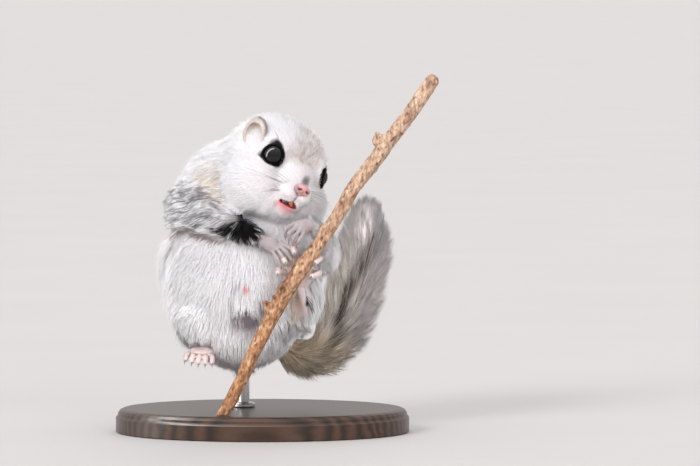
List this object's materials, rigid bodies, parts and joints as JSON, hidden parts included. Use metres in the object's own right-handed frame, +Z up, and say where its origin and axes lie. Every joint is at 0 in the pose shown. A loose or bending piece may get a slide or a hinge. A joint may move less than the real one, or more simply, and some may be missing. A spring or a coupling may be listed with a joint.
{
  "type": "flying squirrel figure",
  "caption": "Life-size flying squirrel in winter coat, sitting upright and gripping a slanting twig, tail raised beside it, on an oval display stand.",
  "frame": {"origin": "centre of the oval stand's underside", "axes": "+Z up, -Y the way the body faces, +X the animal's left side, to which the twig leans"},
  "size_m": [0.1352, 0.098, 0.1504],
  "materials": {
    "coat": "dense soft fur, white with grey and buff",
    "tail_fur": "long loose fur, cream to grey-brown",
    "bare_skin": "bare and thinly furred skin",
    "eye": "wet gloss",
    "nose": "moist, finely grained",
    "mouth": "wet",
    "tooth": "smooth orange enamel",
    "bark": "rough bark",
    "stand_wood": "dark oiled wood",
    "stand_metal": "brushed"
  },
  "bodies": {
    "root": {"head": "coat", "jaw": "coat", "neck": "coat", "torso": "coat", "ear_left": "coat", "ear_right": "coat", "upper_arm_left": "coat", "upper_arm_right": "coat", "forearm_left": "coat", "forearm_right": "coat", "thigh_left": "coat", "thigh_right": "coat", "shin_left": "coat", "shin_right": "coat", "flying_skin_left": "coat", "flying_skin_right": "coat", "tail_root": "tail_fur", "tail_brush": "tail_fur", "hand_left": "bare_skin", "hand_right": "bare_skin", "foot_left": "bare_skin", "foot_right": "bare_skin", "eye_left": "eye", "eye_right": "eye", "nose": "nose", "incisors": "tooth", "tongue": "mouth", "twig": "bark", "stand_base": "stand_wood", "stand_rod": "stand_metal"}
  },
  "joints": []
}
